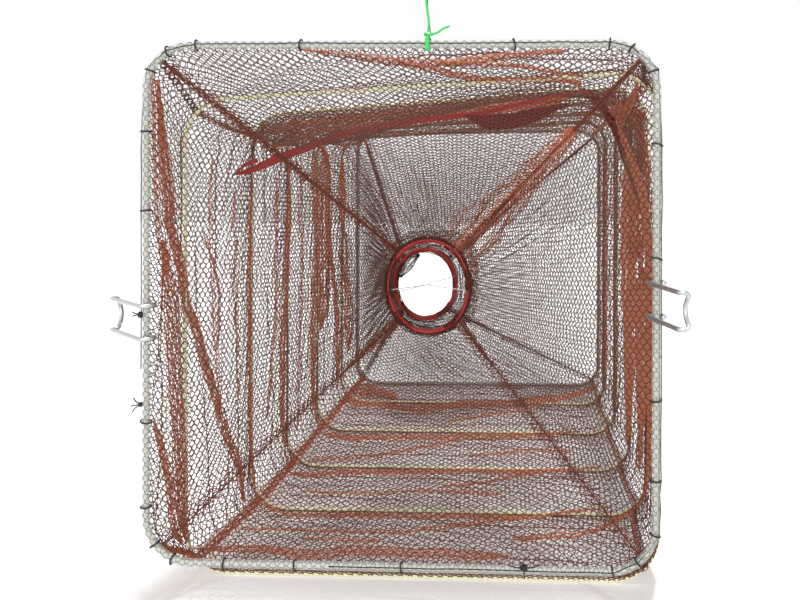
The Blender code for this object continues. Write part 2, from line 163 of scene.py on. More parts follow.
# The most strands in a piece of net
STRANDS_A_PIECE = 22000

# Gathers at the corners: how long and how far apart their strands are, how far they stay from the hoops and
# how much they widen there, and how wide each corner's is
GATHER_STEP = 0.0024
GATHER_GAP = 0.00042
GATHER_STOP = 0.01
GATHER_WIDENS = 0.8
CORNER_GATHERS = (0.0045, 0.0012, 0.0020, 0.0012)

# Gathered strands: how far and how fast they wander, how far they zigzag sideways and lie off the net, and
# how unevenly
WANDER = 0.15
WANDER_SPEEDS = (0.05, 0.3)
ZIGZAG = 1.1
GATHER_LIFT = 0.0004
GATHER_SPREAD = 0.0008
GATHER_ROUGH = 0.00012

# Funnels: half a panel's width at the frame and at the ring, the flange tucked in beside it, how its rows
# crowd and its columns draw together towards the ring, its sag and its bulge, and how many rows each
# panel has, as a share of what its length needs
FUNNEL_HALVES = (0.118, 0.0215)
FLANGE = 0.004
FLANGE_LIFT = 0.25
ROWS_CROWD = 0.8
COLUMNS_DRAW = 0.3
SAG = 0.004
BULGE = 0.003
FUNNEL_ROWS = (1.15, 1.3, 1.35, 1.35)

# Seams: radii of the thread and stitches, how far those swing, and the strands gathered beside them
SEAM_STEPS = 110
SEAM_THREAD = 0.00042
STITCH = 0.00016
STITCH_SWING = 0.00035
SEAM_STRANDS = 7

# Slack net beside the front's top right seam: strands, and width by share of the way to the ring
VEIL_STRANDS = 20
VEIL_FROM = 0.3
VEIL_WIDTHS = ((VEIL_FROM, 0.006), (0.9, 0.030))

# The gathered edges beside each seam: width by share of the way to the ring
SEAM_EDGES = (
    ((0, 0.0001), (0.70, 0.0001), (0.88, 0.0040), (1, 0.006)),
    ((0, 0.0001), (0.75, 0.0001), (0.90, 0.0040), (1, 0.006)),
    ((0, 0.0010), (0.12, 0.0022), (0.22, 0.0022), (0.30, 0.001), (0.50, 0.001), (0.80, 0.003), (1, 0.006)),
    ((0, 0.0006), (0.08, 0.0022), (0.25, 0.0030), (0.50, 0.003), (0.60, 0.001), (0.90, 0.001), (1, 0.005)),
)

# The folds that the photograph shows, by wall: width in pixels, density, course in pixels, across and down
# in turn, and lift off the wall where it isn't the usual one
FOLD_LIFT = 0.0006
FOLDS = {"left": (
    (11, 0.9, (157, 80, 162, 143, 168, 198, 171, 234, 180, 269, 186, 306, 193, 322, 206, 369, 217, 404,
     226, 436, 239, 470, 242, 502)),
    (17, 0.5, (162, 240, 171, 317, 174, 371, 178, 438, 180, 500, 186, 541)),
    (8, 0.7, (153, 420, 163, 458, 168, 484, 172, 522, 180, 545)),
    (5, 0.5, (152, 70, 154, 130, 156, 200, 160, 260)),
    (3, 0.7, (201, 230, 217, 284, 217, 345)),
    (4, 0.7, (249, 180, 249, 340, 250, 438, 254, 490), 0.0010),
    (3, 0.8, (276, 177, 275, 254, 276, 292, 273, 340, 266, 418)),
    (6, 1.2, (289, 165, 287, 235, 286, 273, 284, 311, 282, 369, 282, 418, 286, 460), 0.0022),
    (3, 0.7, (300, 170, 301, 260, 299, 340, 297, 430)),
    (6, 1.2, (314, 145, 315, 206, 316, 254, 313, 331, 313, 397, 318, 425), 0.0022),
    (12, 1.2, (325, 140, 324, 220, 325, 273, 320, 330)),
    (6, 1.3, (328, 140, 328, 220, 331, 260, 335, 292, 337, 331, 337, 388), 0.0022),
    (12, 1.0, (341, 160, 344, 254, 348, 300, 348, 350)),
    (3, 0.5, (206, 160, 212, 300, 220, 420)),
    (3, 0.5, (232, 190, 236, 300, 238, 400)),
), "right": (
    (8, 1.2, (636, 80, 644, 110, 649, 160, 650, 250, 650, 420, 648, 480), 0.0030),
    (20, 1.3, (622, 80, 634, 110, 641, 150, 642, 250, 642, 400, 640, 470), 0.0030),
    (17, 1.4, (612, 95, 622, 125, 629, 160, 629, 250, 629, 400, 627, 440), 0.0030),
    (8, 1.0, (651, 380, 650, 440, 649, 475, 644, 495, 636, 508), 0.0010),
    (3, 0.8, (592, 150, 591, 250, 590, 360)),
    (3, 0.8, (608, 160, 607, 250, 607, 370)),
), "bottom": (
    (5, 1.0, (636, 508, 628, 514, 603, 528, 579, 535, 547, 537, 512, 539), 0.0010),
    (4, 1.0, (252, 501, 271, 508, 292, 515, 362, 516, 460, 517, 532, 518, 563, 513, 611, 508), 0.0016),
    (3.5, 0.8, (420, 531, 460, 526, 492, 521, 524, 519)),
    (10, 0.5, (196, 550, 259, 550, 303, 555, 347, 552, 400, 553, 460, 555, 509, 558)),
    (3, 0.7, (303, 539, 355, 541, 380, 542)),
    (3, 0.6, (235, 528, 300, 531, 380, 533, 420, 531)),
    (4, 1.1, (286, 472, 306, 476, 347, 473, 460, 472, 540, 472, 600, 468), 0.0016),
    (3, 0.8, (441, 488, 484, 483, 516, 477, 563, 470)),
    (3, 0.6, (300, 492, 360, 494, 430, 492, 500, 495)),
    (5, 1.1, (324, 434, 336, 436, 356, 438, 460, 437, 520, 436, 580, 432), 0.0016),
    (3, 0.9, (306, 463, 325, 459, 377, 456, 421, 448, 460, 440)),
    (3, 0.7, (470, 456, 520, 452, 570, 450)),
    (9, 1.1, (340, 398, 356, 403, 384, 406, 421, 409, 460, 405, 520, 402, 570, 396, 600, 384), 0.0016),
    (3, 0.8, (447, 422, 516, 411, 541, 406)),
    (16, 1.0, (350, 393, 370, 391, 396, 398), 0.0016),
), "top": (
    (8, 0.5, (300, 48, 346, 53, 392, 60, 438, 63, 507, 55, 566, 50)),
    (8, 0.5, (392, 60, 429, 68, 472, 77, 507, 79, 564, 79, 582, 83)),
    (6, 0.5, (438, 63, 507, 64, 552, 71, 587, 76)),
    (16, 1.1, (264, 132, 300, 124, 345, 118, 420, 112, 500, 105, 570, 97), 0.0016),
    (12, 1.1, (262, 150, 290, 140, 330, 128, 400, 122, 480, 112, 560, 102), 0.0030),
)}

# Lashings of the front frame: shares of the way along each side, the thread's radius, and their lean
LASHINGS = (
    (0.035, 0.143, 0.290, 0.509, 0.935, 0.990),
    (0.055, 0.162, 0.320, 0.598, 0.821, 0.966),
    (0.030, 0.075, 0.266, 0.700, 0.915, 0.976),
    (0.030, 0.153, 0.312, 0.736, 0.908, 0.987),
)
THREAD = 0.00042
LASHING_LEAN = 0.0008

# The thread that runs along them: its radius and unevenness, where it starts and bends, where it ends, and
# how far out and forward it lies on each side
RUNNING_THREAD = 0.00026
THREAD_ROUGH = 0.00015
THREAD_BENDS = (0.36 / 4, 0.74 / 4)
THREAD_END = 3.736 / 4
THREAD_LIES = ((-0.0006, 0.0022), (0.0022, 0.0006), (0.0004, 0.0023), (0.0022, 0.0006))

# Its knots: radii, how far forward they sit and their ends droop and bend, windings, then how many sides
# round each is, its size, how far out it sits, and its loose ends, along and out
KNOT_THREAD = 0.0004
KNOT_END = 0.00032
KNOT_FORWARD = 0.0020
KNOT_DROOP = 0.0012
KNOT_BEND = 0.0008
KNOT_WINDINGS = 3
KNOTS = (
    ("knot_left", 3.520, 0.0012, 0.0018, ((-0.0015, 0.0035), (0.0006, 0.0035))),
    ("knot_lower_left", 3.700, 0.0008, 0.0018, ((-0.0035, 0.0028), (0.0005, 0.0042), (0.0035, 0.0035))),
    ("knot_bottom", 0.756, 0.0014, -0.0022, ((-0.0075, -0.0018), (0.0078, -0.0020), (0.0005, 0.0048))),
)

# Clips, as in the part: sizes of the shape, then each one's side, height and how far it is open
CLIP_WIRE = 0.0011
CLIP_REACH = 0.036
CLIP_SPACING = 0.016
CLIP_BOW = 0.0035
CLIP_BEND = 0.002
CLIP_EYE = 0.003873
CLIP_EYE_TURN = radians(250)
EYE_STEPS = 24
BEND_STEPS = 8
CLIPS = (
    ("left_clip", -1, 0.1384, radians(46)),
    ("right_clip", 1, 0.1510, radians(167)),
)

# Cord, placed as in the part, whose knot is a ball and whose round bars have corners that lie further out
# by the factor FLAT. The cord starts from the knot's top, its tail and a thin grey-brown line beside it in
# its middle.
CORD_RADIUS = 0.0006
CORD_PLACE = 0.0142
CLEARANCE = 0.0003
FLAT = 1.0824
BALL_RADIUS = 0.0019
BALL_RISE = 0.55
BALL_HEIGHT = 0.8
END_KNOT_RISE = 0.0016
END_KNOT_SIZE = 0.0011
KNOT_SIZE = 0.0012
KNOT_RADIUS = 0.00062
TURN_PITCH = 0.0009
TURN_START = 1.57
TAIL_RADIUS = 0.00055
PLIES = 3
PLY_PITCH = 0.004
PLY_REACH = 0.5
PLY_SIZE = 0.52
CORD_ROUTE = (
    (0, 0, 0), (0.0002, 0.0002, 0.005), (-0.0006, 0.0005, 0.011), (-0.0013, 0.0004, 0.018),
    (-0.0009, 0, 0.025), (-0.0004, -0.0002, 0.032), (-0.0002, 0, 0.037),
)
TAIL_ROUTE = (
    (0.0010, -0.0004, 0), (0.0045, -0.0008, 0.0012), (0.0072, -0.0010, 0.0030), (0.0103, -0.0008, 0.0042),
)
BESIDE_RADIUS = 0.00022
BESIDE_ROUTE = (
    (0.0012, 0.0004, 0), (0.0006, 0.0006, 0.005), (-0.0002, 0.0010, 0.011), (-0.0004, 0.0010, 0.018),
    (-0.0001, 0.0008, 0.026), (0, 0.0008, 0.034),
)

# The net's edge in the clear tubes: length, mesh, rows round the wire, strand's radius, how far from the
# wire's middle it lies, and half a joint as a share of half a mesh
EDGE_LENGTH = 0.98
EDGE_MESH = 0.0046
EDGE_ROWS = 4
EDGE_STRAND = 0.00028
EDGE_REACH = 0.0015
EDGE_JOINT = 0.2

# Thread that binds the rings: its turns, its radius and how far it stands off
BINDING_TURNS = 48
BINDING = 0.00022
BINDING_LIFT = 0.0001

# Net wrapped round the rings: steps a turn, lift, where round the tube a strand starts and how it swings
# there, then from one share of a turn to another, and strands
WRAP_STEPS = 90
WRAP_LIFTS = (0.0002, 0.0007)
WRAP_STARTS = (0.5 * pi, 1.6 * pi)
WRAP_SWING = 0.35
RING_WRAPS = (
    (0.00, 1.00, 1),
    (0.77, 0.92, 11),
    (0.36, 0.56, 10),
    (0.19, 0.28, 11),
    (0.97, 1.06, 8),
)

# Bridles: radius, and how each is tied: its tilt and how low
BRIDLE_RADIUS = 0.0003
BRIDLE_TIES = {"front": (0.0, 0.003), "back": (radians(14), 0)}

# Net gathered just outside the rings: the width for each strand, its slope outwards and back, then shares
# of the way and strands
HALO_STRAND = 0.0012
HALO_SLOPE = (0.75, 0.65)
HALO_STEPS = 80
HALOS = {"front": ((0.985, 3),), "back": ((0.985, 7), (0.93, 8), (0.87, 8))}

# Net that hangs into the back ring: shares of a turn, narrowing of the ring's path, width with its curve's
# first angle, and strands
HANGING_EDGE = (0.66, 0.84)
HANGING_STEPS = 40
HANGING_INSIDE = 0.008
HANGING_WIDTH = 0.012
HANGING_CURVE = 0.15
HANGING_STRANDS = 22

# The slit's binding, half way along its bay, as across and height. Its forked tip and the dark red bands of
# painted shade on the tape's shadowed fold are across, depth and height. Widths are by share of the way.
TAPE_THICK = 0.0005
TAPE_LEAN = 0.35
TAPE_Y = 0.043
TAPE_PATH = (
    (-0.1135, 0.211), (-0.104, 0.213), (-0.090, 0.219), (-0.075, 0.225), (-0.046, 0.235), (-0.020, 0.240),
    (0.001, 0.243), (0.029, 0.246), (0.063, 0.254), (0.088, 0.2585), (0.097, 0.253), (0.104, 0.243),
    (0.109, 0.232), (0.111, 0.223),
)
TAPE_WIDTHS = ((0, 0.001), (0.06, 0.003), (0.15, 0.0052), (0.3, 0.0045), (0.5, 0.0034), (0.62, 0.002),
               (0.72, 0.002), (0.85, 0.0045), (1, 0.0035))
TIP_PATH = ((-0.113, TAPE_Y, 0.2105), (-0.105, 0.039, 0.2165), (-0.098, 0.039, 0.219))
TIP_WIDTHS = ((0, 0.001), (1, 0.003))
SHADED_FOLD_PATH = ((0.022, 0.034, 0.2438), (0.034, 0.033, 0.2405), (0.048, 0.033, 0.2412), (0.062, 0.033, 0.2448),
               (0.080, 0.035, 0.2510))
SHADED_FOLD_WIDTHS = ((0, 0.002), (0.3, 0.0095), (0.7, 0.0080), (1, 0.001))
SHADED_RIGHT_PATH = ((0.090, 0.040, 0.2575), (0.100, 0.039, 0.247), (0.108, 0.039, 0.231), (0.111, 0.040, 0.221))
SHADED_RIGHT_WIDTHS = ((0, 0.0045), (1, 0.0045))

# How fine and how deep the strands' fibres are, how far the bump of any grain stands out, and from what to
# what share of a material's roughness it goes
FIBRES = (2500, 0.5)
GRAIN_BUMP = 0.0002
GRAIN_ROUGHNESS = (0.6, 1.5)

# Light of the white surroundings and the floor, the floor's size and place, and each lamp's energy, angle
# and direction
WORLD_LIGHT = 0.45
FLOOR_GLOW = 0.24
FLOOR_HALF = 4.0
FLOOR_DROP = 0.0002
LAMPS = (
    ("key", 1.7, 7, (-0.04, 0.06, -1)),
    ("fill", 1.2, 30, (0.1, 1, -0.3)),
)


def linked(name, data):
    made = bpy.data.objects.new(name, data)
    bpy.context.scene.collection.objects.link(made)
    return made


def camera():
    data = bpy.data.cameras.new("camera")
    data.lens = LENS
    data.sensor_width = SENSOR
    data.shift_x, data.shift_y = SHIFT
    data.clip_start = 0.01
    made = linked("camera", data)
    pitch, roll, yaw = CAMERA_TURN
    turn = Matrix.Rotation(yaw, 4, "Z") @ Matrix.Rotation(pitch, 4, "X") @ Matrix.Rotation(roll, 4, "Y")
    made.matrix_world = Matrix.Translation(CAMERA_PLACE) @ turn @ Matrix.Rotation(pi / 2, 4, "X")
    bpy.context.scene.camera = made
    bpy.context.scene.view_settings.view_transform = "Standard"
    return made.matrix_world.to_3x3()


def linear(colour):
    """An 8-bit screen colour as Blender's linear one."""
    made = []
    for part in colour:
        part /= 255
        made.append(part / 12.92 if part <= 0.04045 else ((part + 0.055) / 1.055) ** 2.4)
    return (*made, 1)


def fill(node, values):
    """Sets a node's inputs."""
    for name, value in values.items():
        node.inputs[name].default_value = value
    return node


def material(name, colour, roughness=0.8, metallic=0.0, alpha=1.0, grain=FIBRES):
    """A colour with a grain, which is how fine and how deep its unevenness is."""
    made = bpy.data.materials.new(name)
    made.use_nodes = True
    shader = fill(made.node_tree.nodes["Principled BSDF"], {
        "Base Color": linear(colour), "Roughness": roughness, "Metallic": metallic, "Alpha": alpha})
    if grain:
        roughen(made.node_tree, shader, roughness, *grain)
    return made


def roughen(tree, shader, roughness, fineness, deep):
    """Small scuffs: noise in the roughness and in the bump."""
    noise = fill(tree.nodes.new("ShaderNodeTexNoise"), {"Scale": fineness, "Detail": 4})
    spread = fill(tree.nodes.new("ShaderNodeMapRange"), {
        "To Min": roughness * GRAIN_ROUGHNESS[0], "To Max": min(1, roughness * GRAIN_ROUGHNESS[1])})
    bump = fill(tree.nodes.new("ShaderNodeBump"), {"Distance": GRAIN_BUMP, "Strength": deep})
    tree.links.new(noise.outputs["Fac"], spread.inputs["Value"])
    tree.links.new(spread.outputs[0], shader.inputs["Roughness"])
    tree.links.new(noise.outputs["Fac"], bump.inputs["Height"])
    tree.links.new(bump.outputs[0], shader.inputs["Normal"])


def mesh_object(name, points, faces, materials, slots=None, smooth=True):
    """An object of these points and faces, each array of which has one number of sides."""
    mesh = bpy.data.meshes.new(name)
    mesh.vertices.add(len(points))
    mesh.vertices.foreach_set("co", np.asarray(points, np.float32).ravel())
    sizes = np.concatenate([np.full(len(part), part.shape[1]) for part in faces])
    loops = np.concatenate([part.ravel() for part in faces]).astype(np.int32)
    mesh.loops.add(len(loops))
    mesh.loops.foreach_set("vertex_index", loops)
    mesh.polygons.add(len(sizes))
    starts = np.concatenate([[0], np.cumsum(sizes)[:-1]]).astype(np.int32)
    mesh.polygons.foreach_set("loop_start", starts)
    if slots is not None:
        mesh.polygons.foreach_set("material_index", slots.astype(np.int32))
    mesh.polygons.foreach_set("use_smooth", np.full(len(sizes), smooth))
    for wanted in materials:
        mesh.materials.append(wanted)
    mesh.update(calc_edges=True)
    mesh.validate()
    return linked(name, mesh)


def unit(rows):
    """Each row at length one."""
    return rows / np.linalg.norm(rows, axis=-1, keepdims=True).clip(1e-9)


def strands(name, starts, ends, radius, materials, kinds=None):
    """Each pair of ends as a closed three-sided strand."""
    along = unit(ends - starts)
    side = unit(np.cross(along, np.where(np.abs(along[:, 1:2]) < 0.9, [DEEP], [[1.0, 0.0, 0.0]])))
    up = np.cross(along, side)
    angles = [pi * turn for turn in (0.5, 7 / 6, 11 / 6)]
    points = np.stack([end + radius * (cos(angle) * side + sin(angle) * up)
                       for end in (starts, ends) for angle in angles], 1).reshape(-1, 3)
    base = np.arange(len(starts))[:, None] * 6
    quads = np.concatenate([base + np.array([a, b, b + 3, a + 3]) for a, b in ((0, 1), (1, 2), (2, 0))])
    caps = np.concatenate([base + np.array([2, 1, 0]), base + np.array([3, 4, 5])])
    slots = None if kinds is None else np.concatenate([kinds] * 5)
    return mesh_object(name, points, [quads, caps], materials, slots, smooth=False)


def tube(name, points, radius, kind, closed=False, sides=12):
    """A round tube along points."""
    spots = np.asarray(points, float)
    count = len(spots)
    after, before = np.roll(spots, -1, 0), np.roll(spots, 1, 0)
    if not closed:
        after[-1], before[0] = spots[-1], spots[0]
    along = unit(after - before)
    normal = np.cross(along[0], (0.0, 0.0, 1.0))
    if np.linalg.norm(normal) < 0.1:
        normal = np.cross(along[0], DEEP)
    normals = []
    for way in along:
        normal = unit(normal - way * normal.dot(way))
        normals.append(normal)
    normals = np.array(normals)
    if closed:
        # The frame comes back turned after a round, so the turn is spread over the way
        last = unit(normals[-1] - along[0] * normals[-1].dot(along[0]))
        off = atan2(np.cross(last, normals[0]).dot(along[0]), last.dot(normals[0]))
        turns = off * np.arange(count) / count
        seconds = np.cross(along, normals)
        normals = normals * np.cos(turns)[:, None] + seconds * np.sin(turns)[:, None]
    seconds = np.cross(along, normals)
    angles = 2 * pi * np.arange(sides) / sides
    rings = spots[:, None] + radius * (np.cos(angles)[None, :, None] * normals[:, None]
                                       + np.sin(angles)[None, :, None] * seconds[:, None])
    here = np.arange(count if closed else count - 1)[:, None] * sides
    there = (here + sides) % (count * sides)
    side = np.arange(sides)[None]
    other = (side + 1) % sides
    quads = np.stack([here + side, here + other, there + other, there + side], -1)
    faces = [quads.reshape(-1, 4)]
    if not closed:
        faces.append(np.arange(sides)[None, ::-1])
        faces.append((count - 1) * sides + np.arange(sides)[None])
    return mesh_object(name, rings.reshape(-1, 3), faces, [kind])


def curve_through(points, pieces=8):
    """A smooth line through points."""
    spots = np.asarray(points, float)
    padded = np.vstack([spots[0] * 2 - spots[1], spots, spots[-1] * 2 - spots[-2]])
    shares = np.arange(pieces)[:, None] / pieces
    made = []
    for one, two, three, four in zip(padded, padded[1:], padded[2:], padded[3:]):
        bend = 2 * two + (three - one) * shares + (2 * one - 5 * two + 4 * three - four) * shares ** 2
        made.append((bend + (3 * two - one - 3 * three + four) * shares ** 3) / 2)
    return np.vstack([*made, spots[-1]])


class Hoop:
    """A hoop's centre line, a rounded square whose top may slope, by share of the way round from the
    middle of the bottom left corner."""

    STEPS = 160

    def __init__(self, across, y, bottom, left_top, right_top, tube_radius, body):
        half = WIDTH / 2 - tube_radius
        self.y, self.body = y, body
        self.radius = CORNER - tube_radius
        self.corners = [Vector(corner) for corner in (
            (across - half, bottom + tube_radius), (across + half, bottom + tube_radius),
            (across + half, right_top - tube_radius), (across - half, left_top - tube_radius))]
        spots = [self.at(side, step / self.STEPS) for side in range(4) for step in range(self.STEPS)]
        spots.append(spots[0])
        self.table = np.array([(*point, *outward) for point, outward in spots])
        self.shares = np.linspace(0, 1, len(spots))

    def normal(self, side):
        along = (self.corners[(side + 1) % 4] - self.corners[side % 4]).normalized()
        return Vector((along.y, -along.x))

    def arc(self, corner, share):
        before, after = self.normal(corner - 1), self.normal(corner)
        middle = (before + after).normalized()
        centre = self.corners[corner % 4] - middle * self.radius / middle.dot(before)
        outward = before.slerp(after, share)
        return centre + outward * self.radius, outward

    def at(self, side, share):
        first, last = self.arc(side, 1)[0], self.arc(side + 1, 0)[0]
        half_arc = self.radius * pi / 4
        straight = (last - first).length
        way = share * (2 * half_arc + straight)
        if way < half_arc:
            return self.arc(side, 0.5 + 0.5 * way / half_arc)
        if way > half_arc + straight:
            return self.arc(side + 1, 0.5 * (way - half_arc - straight) / half_arc)
        return first.lerp(last, (way - half_arc) / straight), self.normal(side)

    def look(self, shares):
        """Places across and up, and the outward directions, at shares of the way round."""
        shares = np.mod(shares, 1)
        return [np.interp(shares, self.shares, self.table[:, column]) for column in range(4)]

    def spots(self, shares, out=0.0, forward=0.0):
        x, z, ox, oz = self.look(shares)
        return np.stack([x + ox * out, np.full_like(x, self.y - forward), z + oz * out], -1)

    def ways(self, share):
        """The directions out of it and along it."""
        _, _, ox, oz = self.look(share)
        return np.array([ox, 0, oz]), np.array([-oz, 0, ox])


hoops = [Hoop(*sizes) for sizes in HOOPS]
FRONT, BACK = hoops[0], hoops[-1]


def oval(centre, shares, width=RING_WIDTH, height=RING_HEIGHT):
    """Points of a ring's centre line, by share of a turn from the bottom left."""
    turns = 2 * pi * np.asarray(shares) - 0.75 * pi
    across, up = width / 2 - RING_TUBE, height / 2 - RING_TUBE
    return np.stack([centre.x + across * np.cos(turns), np.full_like(turns, centre.y),
                     centre.z + up * np.sin(turns)], -1)


SWAYS = rng.uniform((8, 8, 0), (60, 60, 2 * pi), (SWAY_WAVES, 3))


def sway(first, second, form):
    """Smooth unevenness over two directions."""
    first_speed, second_speed, size = form
    total = 0
    for a, b, turn in SWAYS:
        total = total + np.sin(a * (first * first_speed) + b * (second * second_speed) + turn)
    return size * total / SWAY_PEAK


SIGHT = camera()

WALL_NET = material("wall_net", (100, 60, 44))
FUNNEL_NET = material("funnel_net", (92, 56, 42))
# Gathered, folded and pleated net: the walls' own twine painted lighter and warmer, as painted light glowing
# through the dense layers
LIT_NET = material("gathered_net_painted_light", (212, 130, 96))
# Gathered funnel net beside the seams: the funnel's own twine painted lighter, as painted light glowing
# through the dense layers
LIT_FUNNEL_NET = material("gathered_funnel_net_painted_light", (132, 70, 54))
# A lighter net colour. On random wall patches it is the net's own tone; on creases and tucked funnel flanges
# it is painted light on the denser net.
LIGHTER_NET = material("lighter_net_tone_and_painted_light", (124, 72, 54))
DARK_NET = material("net_on_the_rings", (78, 38, 26))
SEAM = material("seam", (84, 18, 16))
RED = material("ring_red", (164, 18, 14), 0.4, grain=(400, 0.3))
TAPE = material("tape_red", (182, 44, 48), grain=(1500, 0.6))
# Painted shade: the tape's own red painted darker where its shadowed fold and underside show
PAINTED_SHADE_TAPE = material("tape_painted_shade", (104, 12, 18), grain=(1500, 0.6))
MILKY = material("milky_tube", (232, 234, 230), 0.15, alpha=0.3, grain=(250, 0.3))
COATED = material("coated", (252, 250, 208), 0.35, grain=(350, 0.2))
SLEEVED = material("sleeved_wire", (200, 204, 184), 0.4, grain=(350, 0.2))
GHOST = material("net_in_the_tube", (84, 66, 54))
STEEL = material("steel", (196, 198, 200), 0.3, metallic=1.0, grain=(500, 0.15))
BLACK = material("black_thread", (35, 35, 38), 0.7)
LINE = material("clear_line", (222, 225, 225), 0.2, grain=(500, 0.15))
GREEN = material("green", (70, 214, 104), 0.6, grain=(2000, 0.5))
GREY_BROWN = material("thin_grey_brown_line", (92, 84, 76))


def slack(hoop, shares):
    """How far the slit's bay hangs in."""
    x, z, _, _ = hoop.look(shares)
    left, right = hoop.corners[3], hoop.corners[2]
    way = x - left.x
    way = way - np.where(x < left.x + hoop.radius, np.maximum(0, left.y - hoop.radius - z), 0)
    way = way + np.where(x > right.x - hoop.radius, np.maximum(0, right.y - hoop.radius - z), 0)
    drop = np.zeros_like(x)
    for place, depth, before, after in SLACKS:
        spread = np.where(way < place, before, after)
        drop += depth * np.exp(-((way - place) / spread) ** 2)
    return np.where(z < hoop.radius, 0, drop)


def drawn(shares, bay):
    """How far the net of a bay is drawn in at its waist. It changes from side to side at the corners."""
    stops = [side / 4 + edge for side in range(4) for edge in (CORNER_SHARE, 1 / 4 - CORNER_SHARE)]
    return np.interp(np.mod(shares, 1), [*stops, 1], [*np.repeat(DRAWN[bay], 2), DRAWN[bay][0]])


def hang(bay, shares, v):
    """How far a bay's net lies inside the straight line between its hoops. It runs outside their wires."""
    held = np.clip(v, 0, 1)
    peak = BACKWARD / (BACKWARD + FORWARD)
    profile = (held / peak) ** BACKWARD * ((1 - held) / (1 - peak)) ** FORWARD
    inward = drawn(shares, bay) * profile
    near = OUTSIDE if bay > 0 else 0
    far = OUTSIDE if bay < len(hoops) - 2 else 0
    return inward - near * np.exp(-held / COMES_OFF) - far * np.exp((held - 1) / COMES_OFF)


def wall_spots(bay, shares, v, lift=0.0):
    """Places on a bay's net, by share of the way round and of the way back, lifted inwards."""
    near, far = hoops[bay], hoops[bay + 1]
    held = v.clip(0, 1)
    inward = hang(bay, shares, v) + lift
    if bay == 1:
        inward = inward + slack(near, shares) * 4 * held * (1 - held)
    inward = inward + sway(shares, held, WALL_SWAY) * np.sin(pi * held)
    nx, nz, nox, noz = near.look(shares)
    fx, fz, _, _ = far.look(shares)
    return np.stack([nx + (fx - nx) * v - nox * inward, near.y + (far.y - near.y) * v,
                     nz + (fz - nz) * v - noz * inward], -1)


def section(y):
    """The trap's outline at a depth, as a hoop's table, with its bay and the share of the way back."""
    for bay, (near, far) in enumerate(zip(hoops, hoops[1:])):
        if y <= far.y:
            break
    mix = min(max((y - near.y) / (far.y - near.y), 0), 1)
    return near.table + (far.table - near.table) * mix, bay, mix


def on_wall(pixel, side, lift):
    """Where a spot of the photograph lies on a wall's net: the share of the way round, and the depth."""
    ray = SIGHT @ Vector(((pixel[0] - CENTRE_PIXEL[0]) / FOCAL, (CENTRE_PIXEL[1] - pixel[1]) / FOCAL, -1))
    low, high = FRONT.y, BACK.y
    for _ in range(HALVINGS):
        y = (low + high) / 2
        spot = Vector(CAMERA_PLACE) + ray * ((y - CAMERA_PLACE[1]) / ray.y)
        table, bay, mix = section(y)
        part = table[side * Hoop.STEPS:(side + 1) * Hoop.STEPS + 1]
        nearest = int(np.argmin(np.hypot(part[:, 0] - spot.x, part[:, 1] - spot.z)))
        x, z, ox, oz = part[nearest]
        share = np.array([(side + nearest / Hoop.STEPS) / 4])
        if (spot.x - x) * ox + (spot.z - z) * oz > -lift - hang(bay, share, np.array([mix]))[0]:
            high = y
        else:
            low = y
    step = np.hypot(*(part[1, :2] - part[0, :2]))
    past = ((spot.z - z) * ox - (spot.x - x) * oz) / step
    return (side + (nearest + past) / Hoop.STEPS) / 4, y


def pixels(points):
    """Where points show in the picture."""
    seen = (points - np.array(CAMERA_PLACE)) @ np.array(SIGHT)
    return np.stack([CENTRE_PIXEL[0] - FOCAL * seen[:, 0] / seen[:, 2],
                     CENTRE_PIXEL[1] + FOCAL * seen[:, 1] / seen[:, 2]], -1)


def bundle(path, across, inward, widths, count, lift=GATHER_LIFT):
    """Starts and ends of gathered net along a path: zigzag strands side by side."""
    along = np.arange(len(path))
    bent = np.sin(along * rng.uniform(*WANDER_SPEEDS, (count, 1)) + rng.uniform(0, 2 * pi, (count, 1)))
    place = np.linspace(-1, 1, count)[:, None] + WANDER * bent
    zigzag = 1 - 2 * ((along + np.arange(count)[:, None]) % 2)
    offset = (place + zigzag * ZIGZAG / count) * widths / 2
    depth = lift + rng.uniform(0, GATHER_SPREAD, (count, 1)) + rng.normal(0, GATHER_ROUGH, (count, len(path)))
    spots = path + across * offset[..., None] + inward * depth[..., None]
    return spots[:, :-1].reshape(-1, 3), spots[:, 1:].reshape(-1, 3)


def length_of(path):
    """How long the steps of a path are together."""
    return float(np.linalg.norm(np.diff(np.asarray(path, float), axis=0), axis=1).sum())


def fold(side, width, density, course, lift=FOLD_LIFT):
    """Starts and ends of the strands of a fold, which shows as a dense band of so many pixels."""
    spots = np.reshape(course, (-1, 2))
    placed = np.array([on_wall(spot, side, lift) for spot in curve_through(spots, 5)])
    steps = max(4, round(length_of(spots) / STEP_PIXELS))
    ends = len(placed) - 1
    ticks = np.linspace(0, ends, steps)
    shares, depths = [np.interp(ticks, np.arange(len(placed)), column) for column in placed.T]
    path = np.zeros((steps, 3))
    for bay, (near, far) in enumerate(zip(hoops, hoops[1:])):
        here = (depths >= near.y) & (depths <= far.y)
        path[here] = wall_spots(bay, shares[here], (depths[here] - near.y) / (far.y - near.y))
    inward = -FRONT.spots(shares, 1) + FRONT.spots(shares)
    across = unit(np.cross(unit(np.gradient(path, axis=0)), inward))
    scale = np.linalg.norm(pixels(path + across * PROBE) - pixels(path), axis=1) / PROBE
    taper = np.minimum(FOLD_WIDENS * np.minimum(ticks, ends - ticks) / ends + FOLD_ENDS, 1)
    widths = np.minimum(width / scale, WIDEST_FOLD) * taper
    count = max(3, round(width * density / STRAND_PIXELS))
    return bundle(path, across, inward, widths, count, lift)


